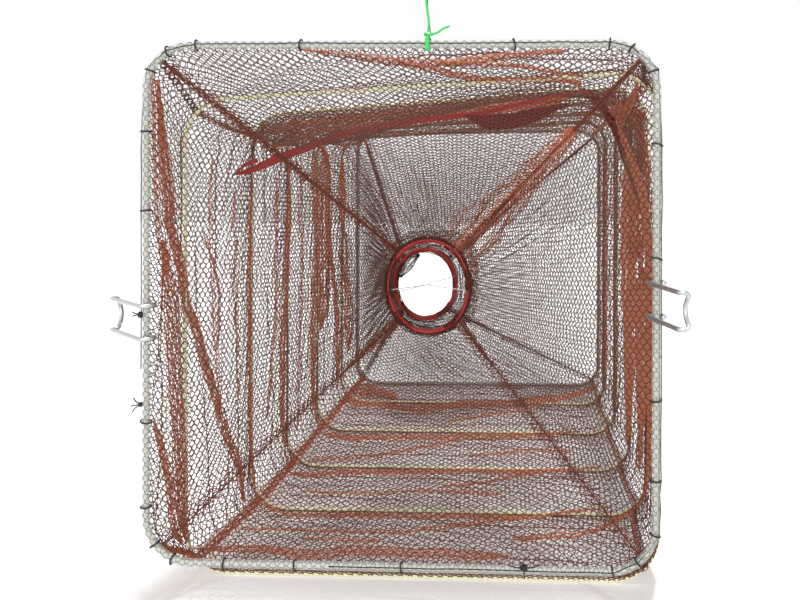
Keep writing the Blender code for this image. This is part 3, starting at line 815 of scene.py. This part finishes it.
def corner_gather(bay, corner):
    """Starts and ends of the strands gathered at a corner between two hoops."""
    near, far = hoops[bay], hoops[bay + 1]
    steps = round((far.y - near.y) / GATHER_STEP)
    v = np.linspace(GATHER_STOP, 1 - GATHER_STOP, steps)
    path = wall_spots(bay, np.full(steps, corner / 4), v)
    out, along = FRONT.ways(corner / 4)
    widths = CORNER_GATHERS[corner] * (1 + GATHER_WIDENS * (2 * np.abs(v - 0.5)) ** 2)
    return bundle(path, along, -out, widths, round(CORNER_GATHERS[corner] / GATHER_GAP), 2 * GATHER_LIFT)


def creases(depth):
    """Short slanted lines along which rows of the net lie close together."""
    return [(rng.uniform(0, 1), rng.uniform(*CREASE_PLACES) * depth, rng.normal(0, CREASE_LEAN),
             rng.uniform(*CREASE_REACH)) for _ in range(round(CREASES_A_METRE * depth))]


def creased(v, shares, depth, lines):
    """Draws rows together along the creases. Also says which spots lie in one."""
    moved = v * depth
    held = np.zeros_like(v)
    for centre, middle, lean, reach in lines:
        away = np.mod(shares - centre + 0.5, 1) - 0.5
        line = middle + lean * away + CREASE_WAVE * np.sin(CREASE_WAVES * away + 9 * centre)
        window = np.exp(-(away / reach) ** 4)
        gap = moved - line
        held = np.maximum(held, window * (np.abs(gap) < CREASE_WIDTH))
        pull = CREASE_PULL * window * np.tanh(gap / CREASE_WIDTH)
        moved = moved - pull * np.exp(-(gap / 3 / CREASE_WIDTH) ** 2)
    return moved / depth, held


def joined(parts):
    """Several sets of arrays as one set."""
    return [np.concatenate(part) for part in zip(*parts)]


def lattice(columns, rows, place, first=0, reach=JOINT / MESH_ALONG, wraps=False):
    """A knotless net of hexagons: every other spot is a joint, with two strands to the next column. It may
    wrap round from the last row to the first. Gives its strands' starts, ends, kinds and columns."""
    column, row = np.meshgrid(np.arange(first, columns), np.arange(rows + 1), indexing="ij")
    kept = (column + row) % 2 == 0
    column, row = column[kept].astype(float), row[kept].astype(float)
    left, dense = place(column - reach, row)
    right, _ = place(column + reach, row)
    up, _ = place(column + 1 - reach, row + 1)
    down, _ = place(column + 1 - reach, row - 1)
    kinds = dense.astype(int)
    return joined([(one[use], other[use], kinds[use], column[use]) for one, other, use in (
        (left, right, row >= 0), (right, up, wraps | (row < rows)), (right, down, wraps | (row > 0)))])


def wall(bay, folds):
    """The netting between two hoops, in a few pieces of strands."""
    near, far = hoops[bay], hoops[bay + 1]
    depth = far.y - near.y
    side_length = WIDTH - 2 * CORNER + pi * near.radius / 2 + 2 * PLEAT
    columns = 2 * round(4 * side_length / (2 * MESH_ALONG))
    rows = round(depth / MESH_ACROSS)
    lines = creases(depth)

    def place(column, row):
        side = np.floor(column / columns * 4)
        way = (column / columns * 4 - side) * side_length
        corner = side + (way >= side_length / 2)
        way = np.where(corner > side, way - side_length, way)
        pleated = np.abs(way) < 1.5 * PLEAT
        lift = PLEAT_LIFT * np.clip(way / PLEAT, -1, 1) * pleated
        way = np.where(np.abs(way) > PLEAT / 2, way - np.sign(way) * PLEAT, -way)
        shares = (corner + way / (side_length - 2 * PLEAT)) / 4
        v, held = creased(row / rows, shares, depth, lines)
        # Slot 1, the pleat at the bottom left corner, is painted light on the dense net; slot 2 is random
        # patches of tone, and painted light along creases
        mixed = (held > 0.4) | (sway(shares, v, PATCHES) > PATCHY)
        return wall_spots(bay, shares, v, lift), np.where(pleated & (corner % 4 == 0), 1, 2 * mixed)

    starts, ends, kinds, column = lattice(columns, rows, place)
    extra = [corner_gather(bay, corner) for corner in (range(4) if bay > 0 else (0,))]
    for fold_starts, fold_ends in folds:
        middle = (fold_starts[:, 1] + fold_ends[:, 1]) / 2
        use = (middle > near.y) & (middle <= far.y)
        extra.append((fold_starts[use], fold_ends[use]))
    parts = ceil(len(starts) / STRANDS_A_PIECE)
    for part in range(parts):
        use = (column * parts // columns) == part
        carry_wall(strands(f"wall_net_{bay + 1}_part_{part + 1}", starts[use], ends[use], STRAND,
                           [WALL_NET, LIT_NET, LIGHTER_NET], kinds[use]), bay)
    # Gathers and folds take the lighter colour: painted light on the dense net
    carry_wall(strands(f"wall_net_{bay + 1}_gathers", *joined(extra), STRAND, [LIT_NET]), bay)


def dress(piece, slot, *nodes):
    """Hides the nodes that a piece stands for. Its slot is not used."""
    if nodes:
        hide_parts(*nodes)
    return piece


def carried(piece, body="front_frame", slot=None, *nodes):
    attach(dress(piece, slot, *nodes), body)
    return piece


def flattened(piece, body):
    """Rides on a body, with a mesh of its own."""
    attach(piece, body)
    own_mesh(piece)


def carry_wall(piece, bay):
    """The first bay's net keeps its place baked into its mesh. The others ride on their near hoop."""
    near, far = hoops[bay], hoops[bay + 1]
    dress(piece, "brown_net", f"wall_net_{bay + 1}")
    if bay == 0:
        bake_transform(piece)
    else:
        flattened(piece, near.body)


def carry_funnel(piece, end):
    """A front funnel keeps its place baked into its mesh. A back one rides on its frame."""
    if end == "front":
        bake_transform(piece)
    else:
        flattened(piece, "back_frame")


def funnel_spots(hoop, centre, side, shares, b, lift=0.0):
    """Places on a funnel's panel, by share of its width and of the way to the ring."""
    nx, nz, nox, noz = hoop.look((side + shares) / 4)
    far = oval(centre, (side + shares) / 4)
    arch = 16 * b * (1 - b) * shares * (1 - shares)
    inward = lift + sway(shares, b, FUNNEL_SWAY) * np.sqrt(arch.clip(0, 1))
    x = nx + (far[..., 0] - nx) * b - nox * (inward + (BULGE * arch if side in (1, 3) else 0))
    z = nz + (far[..., 2] - nz) * b - noz * inward - SAG * arch
    return np.stack([x, hoop.y + (centre.y - hoop.y) * b, z], -1)


def panel(end, hoop, centre, side):
    """One net panel of a funnel, with its edges tucked in at the seams."""
    near, far = FUNNEL_HALVES
    slope = hypot(abs(centre.y - hoop.y), near - far)
    rows = round(FUNNEL_ROWS[side] * slope / MESH_ACROSS)
    most = round((near + FLANGE) / MESH_ALONG)

    def place(column, row):
        b = (np.maximum(row, 0) / rows) ** ROWS_CROWD
        half = near + (far - near) * b
        x = column * MESH_ALONG * (1 - COLUMNS_DRAW * b)
        over = np.maximum(np.abs(x) - half, 0).clip(0, FLANGE)
        x = np.sign(x) * (np.minimum(np.abs(x), half) - over)
        return funnel_spots(hoop, centre, side, (x / half + 1) / 2, b, over * FLANGE_LIFT), over > 0

    starts, ends, kinds, column = lattice(most, rows, place, -most)
    b = (starts[:, 1] - hoop.y) / (centre.y - hoop.y)
    use = np.abs(column) * MESH_ALONG * (1 - COLUMNS_DRAW * b) < near + (far - near) * b + FLANGE
    # Tucked flanges take the lighter colour: painted light on the doubled net
    piece = strands(f"{end}_funnel_net_{SIDES[side]}", starts[use], ends[use], STRAND, [FUNNEL_NET, LIGHTER_NET],
                    kinds[use])
    carry_funnel(dress(piece, "brown_net", f"{end}_funnel_{SIDES[side]}"), end)


def seam(end, hoop, centre, side):
    """A seam of a funnel: its thread, its stitches and the gathered edges beside it."""
    node = f"{end}_seam_{CORNERS[side]}"
    b = np.linspace(0, 1, SEAM_STEPS)
    line = funnel_spots(hoop, centre, side, np.zeros(SEAM_STEPS), b)
    out, along = hoop.ways(side / 4)
    zigzag = line + along * (STITCH_SWING * np.where(np.arange(SEAM_STEPS) % 2, 1, -1))[:, None]
    thread = tube(node + "_thread", line, SEAM_THREAD, SEAM, sides=8)
    stitches = tube(node + "_stitches", zigzag, STITCH, SEAM, sides=6)
    widths = np.interp(b, *zip(*SEAM_EDGES[side]))
    # The gathered edges are painted lighter: painted light on the dense net
    edges = strands(node + "_edges", *bundle(line, along, -out, widths, SEAM_STRANDS), STRAND, [LIT_FUNNEL_NET])
    pieces = [dress(thread, "seam_twine", node), dress(stitches, "seam_twine"), dress(edges, "brown_net")]
    if node == "front_seam_top_right":
        widths = np.interp(b, *zip(*VEIL_WIDTHS)) * (b > VEIL_FROM)
        use = np.tile(b[:-1] > VEIL_FROM, VEIL_STRANDS)
        parts = [part[use] for part in bundle(line, along, -out, widths, VEIL_STRANDS)]
        pieces.append(dress(strands(node + "_veil", *parts, STRAND, [LIT_NET]), "brown_net"))
    for piece in pieces:
        carry_funnel(piece, end)


def funnel(end, hoop, centre):
    """A funnel's panels and seams, and the net gathered round it just outside its ring."""
    for side in range(4):
        panel(end, hoop, centre, side)
        seam(end, hoop, centre, side)
    shares = np.linspace(0, 1, HALO_STEPS)
    halo = []
    for b, count in HALOS[end]:
        path = np.concatenate([funnel_spots(hoop, centre, side, shares, np.full(HALO_STEPS, b))
                               for side in range(4)])
        out = unit(path - path.mean(0))
        across = out * HALO_SLOPE[0] + copysign(HALO_SLOPE[1], hoop.y - centre.y) * DEEP
        halo.append(bundle(path, across, -out, np.full(len(path), HALO_STRAND * count), count))
    piece = dress(strands(f"{end}_funnel_gathers", *joined(halo), STRAND, [DARK_NET]), "brown_net")
    carry_funnel(piece, end)


def hoop_wires():
    around = np.arange(HOOP_STEPS) / HOOP_STEPS
    for hoop in hoops[1:-1]:
        carried(tube(f"{hoop.body}_wire", hoop.spots(around), BARE_WIRE, COATED, closed=True),
                hoop.body, "coated_wire", hoop.body)
    for end, hoop in (("front", FRONT), ("back", BACK)):
        carried(tube(f"{end}_wire", hoop.spots(around), CORE, SLEEVED, closed=True),
                hoop.body, "galvanised_wire", f"{end}_hoop_wire")
        carried(tube(f"{end}_milky_tube", hoop.spots(around), SLEEVE, MILKY, closed=True, sides=16),
                hoop.body, "clear_sleeve", f"{end}_hoop_sleeve")
        sleeved_net(end, hoop)


def sleeved_net(end, hoop):
    """The net's edge, wrapped round the wire inside the clear tube."""
    count = 2 * round(EDGE_LENGTH / EDGE_MESH)

    def place(column, row):
        x, z, ox, oz = hoop.look(column / count)
        turn = 2 * pi * row / EDGE_ROWS
        return np.stack([x + ox * EDGE_REACH * np.cos(turn), hoop.y + EDGE_REACH * np.sin(turn),
                         z + oz * EDGE_REACH * np.cos(turn)], -1), row < 0

    starts, ends, _, _ = lattice(count, EDGE_ROWS - 1, place, reach=EDGE_JOINT, wraps=True)
    carried(strands(f"{end}_net_edge", starts, ends, EDGE_STRAND, [GHOST]), hoop.body, "brown_net")


def winding(path, centre, reach, turns):
    """Points wound round a ring's centre line, at turns from its outward direction."""
    out = unit(path - np.array(centre))
    return path + reach * (np.cos(turns)[:, None] * out + np.sin(turns)[:, None] * DEEP)


def ring_wraps(centre):
    """Starts and ends of strands that cling to a ring."""
    made = []
    for first, last, count in RING_WRAPS:
        path = oval(centre, np.linspace(first, last, round((last - first) * WRAP_STEPS)))
        for _ in range(count):
            turns = rng.uniform(*WRAP_STARTS) + np.cumsum(rng.normal(0, WRAP_SWING, len(path)))
            line = winding(path, centre, RING_TUBE + rng.uniform(*WRAP_LIFTS), turns)
            made.append((line[:-1], line[1:]))
    return made


def hanging_edge(centre):
    """Starts and ends of the strands that hang into the back ring."""
    path = oval(centre, np.linspace(*HANGING_EDGE, HANGING_STEPS), RING_WIDTH - HANGING_INSIDE,
                RING_HEIGHT - HANGING_INSIDE)
    widths = HANGING_WIDTH * np.sin(np.linspace(HANGING_CURVE, pi - HANGING_CURVE, HANGING_STEPS))
    out = unit(path - np.array(centre))
    return bundle(path, out, -DEEP, widths, HANGING_STRANDS)


def rings():
    for end, centre in (("front", FRONT_RING), ("back", BACK_RING)):
        body = f"{end}_ring"
        line = oval(centre, np.arange(RING_STEPS) / RING_STEPS)
        carried(tube(f"{end}_red_ring", line, RING_TUBE, RED, closed=True, sides=16), body, "red_ring", body)
        steps = BINDING_TURNS * 12
        way = np.arange(steps) / steps
        coil = winding(oval(centre, way), centre, RING_TUBE + BINDING_LIFT, 2 * pi * BINDING_TURNS * way)
        carried(tube(f"{end}_ring_binding", coil, BINDING, RED, closed=True, sides=6), body, "seam_twine")
        made = ring_wraps(centre)
        if end == "back":
            made.append(hanging_edge(centre))
        carried(strands(f"{end}_ring_wraps", *joined(made), STRAND, [DARK_NET]), body, "brown_net")


def bridles():
    middle = (FRONT_RING + BACK_RING) / 2
    across, up = RING_WIDTH / 2 - RING_TUBE, RING_HEIGHT / 2 - RING_TUBE
    for end, centre in (("front", FRONT_RING), ("back", BACK_RING)):
        tilt, low = BRIDLE_TIES[end]
        left, right = [centre + Vector((hand * across * cos(tilt), 0, hand * up * sin(tilt) - low))
                       for hand in (-1, 1)]
        line = tube(f"{end}_bridle_line", [left, (left + middle) / 2, middle, (right + middle) / 2, right],
                    BRIDLE_RADIUS, LINE, sides=8)
        flattened(dress(line, "monofilament", f"{end}_bridle"), f"{end}_ring")


def ribbon(name, spots, widths, kind):
    """A band along a path that lies across the trap, facing along it."""
    wide = unit(np.cross(unit(np.gradient(spots, axis=0)), DEEP))
    half = widths[:, None] / 2
    lean = TAPE_LEAN * half * DEEP
    rows = [spots + wide * half + lean, spots - wide * half - lean]
    rows += [row + DEEP * TAPE_THICK for row in rows]
    count = len(spots)
    one = np.arange(count - 1)
    quads = [np.stack([a * count + one, b * count + one, b * count + one + 1, a * count + one + 1], 1)
             for a, b in ((0, 1), (1, 3), (3, 2), (2, 0))]
    ends = np.array([[0, 2 * count, 3 * count, count],
                     [count - 1, 2 * count - 1, 4 * count - 1, 3 * count - 1]])
    return mesh_object(name, np.concatenate(rows), [*quads, ends], [kind], smooth=False)


def tape():
    """The slit's binding with its forked tip, and dark red bands beside it: painted shade of its shadowed
    fold.
    """
    for name, spots, pieces, widths, kind in (
        ("slit_binding", [(x, TAPE_Y, z) for x, z in TAPE_PATH], 8, TAPE_WIDTHS, TAPE),
        ("slit_binding_tip", TIP_PATH, 6, TIP_WIDTHS, TAPE),
        ("slit_shaded_fold", SHADED_FOLD_PATH, 8, SHADED_FOLD_WIDTHS, PAINTED_SHADE_TAPE),
        ("slit_shaded_fold_right", SHADED_RIGHT_PATH, 8, SHADED_RIGHT_WIDTHS, PAINTED_SHADE_TAPE),
    ):
        path = curve_through(spots, pieces)
        piece = ribbon(name, path, np.interp(np.linspace(0, 1, len(path)), *zip(*widths)), kind)
        dress(piece, "red_tape", *(["slit_tape"] if name == "slit_binding" else []))
        flattened(piece, "hoop_2")


def clips():
    """Each clip's wire: an eye, a leg, a bend and half the bowed cross bar, then the same the other way."""
    half = CLIP_SPACING / 2
    straight, inner = CLIP_REACH - CLIP_BEND, half - CLIP_BEND
    eye = [CLIP_EYE_TURN * (1 - step / EYE_STEPS) for step in range(EYE_STEPS + 1)]
    bend = [pi / 2 * step / BEND_STEPS for step in range(BEND_STEPS + 1)]
    upper = [(-CLIP_EYE * cos(turn), -CLIP_EYE * sin(turn), half) for turn in eye]
    upper += [(-CLIP_EYE + CLIP_BEND * (1 - cos(turn)), straight + CLIP_BEND * sin(turn), half)
              for turn in bend]
    upper += [(-CLIP_EYE + CLIP_BEND * (1 + sin(turn)), CLIP_REACH, inner + CLIP_BEND * cos(turn))
              for turn in bend[1:]]
    upper += [(-CLIP_EYE + 2 * CLIP_BEND, CLIP_REACH - CLIP_BOW * (1 - share * share), inner * share)
              for share in (0.83, 0.67, 0.5, 0.33, 0.17, 0)]
    route = upper + [(x, y, -z) for x, y, z in reversed(upper[:-1])]
    for name, hand, height, opened in CLIPS:
        turn = Matrix.Rotation(-hand * opened, 3, "Z")
        place = Vector((HOOPS[0][0] + hand * (WIDTH / 2 - SLEEVE), FRONT.y, height))
        points = [place + turn @ Vector((-hand * x, y, z)) for x, y, z in route]
        carried(tube(name + "_wire", points, CLIP_WIRE, STEEL, sides=16), name, "galvanised_wire", name)


def lashings():
    """The black ties round the front frame and the thread that runs from one to the next."""
    shares = [(side + share) / 4 for side, places in enumerate(LASHINGS) for share in places]
    for number, share in enumerate(shares):
        spot = FRONT.spots(share)
        out, along = FRONT.ways(share)
        lean = rng.uniform(-LASHING_LEAN, LASHING_LEAN)
        loop = [spot + (SLEEVE + THREAD) * (cos(turn) * out + sin(turn) * DEEP)
                + along * lean * sin(turn + 1) for turn in np.linspace(0, 2 * pi, 25)[:-1]]
        carried(tube(f"lashing_{number}", loop, THREAD, BLACK, closed=True, sides=8))
    route = [FRONT.spots(share, *THREAD_LIES[int(share * 4)]) for share in sorted([*shares, *THREAD_BENDS])
             if THREAD_BENDS[0] <= share <= THREAD_END]
    line = [one + (other - one) * step / 4 + rng.normal(0, THREAD_ROUGH, 3)
            for one, other in zip(route, route[1:]) for step in range(4)]
    carried(tube("running_thread", line, RUNNING_THREAD, BLACK, sides=6))


def knots():
    """The black thread's knots with their loose ends."""
    for name, share, size, place, loose in KNOTS:
        centre = FRONT.spots(share / 4, place, KNOT_FORWARD)
        out, along = FRONT.ways(share / 4)
        wad = [centre + size * (cos(turn) * along + sin(turn) * DEEP * 0.8 + 0.6 * sin(2.3 * turn) * out)
               for turn in np.linspace(0, 2 * pi * KNOT_WINDINGS, 60)]
        carried(tube(name, wad, KNOT_THREAD, BLACK, sides=6))
        for number, (sideways, outwards) in enumerate(loose):
            end = centre + along * sideways + out * outwards - DEEP * KNOT_DROOP
            path = curve_through([centre, (centre + end) / 2 + out * KNOT_BEND, end], 5)
            carried(tube(f"{name}_end_{number}", path, KNOT_END, BLACK, sides=6))


def twisted(name, path, radius):
    """Plies of green cord laid round a path, joined in one piece."""
    steps = np.linalg.norm(np.diff(path, axis=0), axis=1)
    way = np.concatenate([[0], np.cumsum(steps)])
    along = unit(np.gradient(path, axis=0))
    side = unit(np.cross(along, DEEP))
    up = np.cross(side, along)
    made = []
    for ply in range(PLIES):
        turn = 2 * pi * (way / PLY_PITCH + ply / PLIES)
        offset = radius * PLY_REACH * (np.cos(turn)[:, None] * side + np.sin(turn)[:, None] * up)
        made.append(tube(f"{name}_ply_{ply}", path + offset, radius * PLY_SIZE, GREEN, sides=8))
    with bpy.context.temp_override(active_object=made[0], selected_editable_objects=made):
        bpy.ops.object.join()
    made[0].name = made[0].data.name = name
    return made[0]


def green_cord():
    """The cord's turn round the top bar, its knot and its tail, and the cord with its end knot."""
    bar = Vector((HOOPS[0][0] + CORD_PLACE, FRONT.y, FRONT.corners[2].y))
    turn_radius = SLEEVE * FLAT + CLEARANCE + CORD_RADIUS * FLAT
    knot = bar + Vector((0, 0, turn_radius + BALL_RADIUS * BALL_RISE))
    start = knot + Vector((0, 0, BALL_RADIUS * BALL_HEIGHT + CLEARANCE))
    path = curve_through([start + Vector(point) for point in CORD_ROUTE], 12)
    cord = twisted("green_cord", path, CORD_RADIUS)
    end_knot = knotted("green_cord_end_knot", Vector(path[-1]) + Vector((0, 0, END_KNOT_RISE)),
                       END_KNOT_SIZE, "lift_cord_end_knot")
    carried(cord, "front_frame", "green_cord", "lift_cord")
    loop = [bar + Vector((TURN_PITCH * (turn / (2 * pi) - 1), 0, 0))
            + Vector((0, cos(turn + TURN_START), sin(turn + TURN_START))) * (SLEEVE + CORD_RADIUS)
            for turn in np.linspace(0, 4 * pi, 73)]
    carried(tube("green_turn", loop, CORD_RADIUS, GREEN, sides=10), "front_frame", "green_cord")
    knotted("green_knot", knot, KNOT_SIZE, "lift_cord_knot")
    tail = curve_through([knot + Vector(point) for point in TAIL_ROUTE], 8)
    carried(twisted("green_tail", tail, TAIL_RADIUS), "front_frame", "green_cord", "lift_cord_tail")
    beside = curve_through([knot + Vector(point) for point in BESIDE_ROUTE], 8)
    carried(tube("thin_grey_brown_line", beside, BESIDE_RADIUS, GREY_BROWN, sides=6))


def knotted(name, centre, size, node):
    """A tight knot: a closed three-lobed winding."""
    route = [centre + size * Vector((0.8 * (sin(turn) + 0.9 * sin(2 * turn)),
                                     -0.8 * sin(3 * turn),
                                     0.6 * (cos(turn) - 0.9 * cos(2 * turn))))
             for turn in np.linspace(0, 2 * pi, 61)[:-1]]
    made = tube(name, route, KNOT_RADIUS, GREEN, closed=True, sides=10)
    return carried(made, "front_frame", "green_cord", node)


def added(tree, first, second):
    """The sum of two outputs, held at one."""
    node = tree.nodes.new("ShaderNodeMath")
    node.operation = "ADD"
    node.use_clamp = True
    tree.links.new(first, node.inputs[0])
    tree.links.new(second, node.inputs[1])
    return node.outputs[0]


def white_world():
    """White where it is seen, also in reflections and through what is clear, and plainer as light."""
    world = bpy.data.worlds.new("white")
    bpy.context.scene.world = world
    world.use_nodes = True
    tree = world.node_tree
    sky = fill(tree.nodes["Background"], {"Color": (1, 1, 1, 1)})
    rays = tree.nodes.new("ShaderNodeLightPath").outputs
    seen = added(tree, rays["Is Camera Ray"], added(tree, rays["Is Glossy Ray"], rays["Is Transmission Ray"]))
    strength = fill(tree.nodes.new("ShaderNodeMapRange"), {"To Min": WORLD_LIGHT, "To Max": 1})
    tree.links.new(seen, strength.inputs["Value"])
    tree.links.new(strength.outputs[0], sky.inputs["Strength"])


def lamp(name, energy, angle, direction):
    data = bpy.data.lights.new(name, "SUN")
    data.energy = energy
    data.angle = radians(angle)
    linked(name, data).matrix_world = Vector(direction).to_track_quat("-Z", "Y").to_matrix().to_4x4()


def floor():
    corners = [(x * FLOOR_HALF, y * FLOOR_HALF, -FLOOR_DROP) for x, y in ((-1, -1), (1, -1), (1, 1), (-1, 1))]
    white = material("floor", (255, 255, 255), 1.0, grain=None)
    fill(white.node_tree.nodes["Principled BSDF"], {
        "Emission Color": (1, 1, 1, 1), "Emission Strength": FLOOR_GLOW})
    mesh_object("floor", corners, [np.array([[0, 1, 2, 3]])], [white])


white_world()
for described in LAMPS:
    lamp(*described)
floor()
green_cord()
hoop_wires()
rings()
folds = [fold(SIDES.index(wall_name), *described) for wall_name, listed in FOLDS.items()
         for described in listed]
for bay in range(len(hoops) - 1):
    wall(bay, folds)
funnel("front", FRONT, FRONT_RING)
funnel("back", BACK, BACK_RING)
bridles()
tape()
clips()
lashings()
knots()
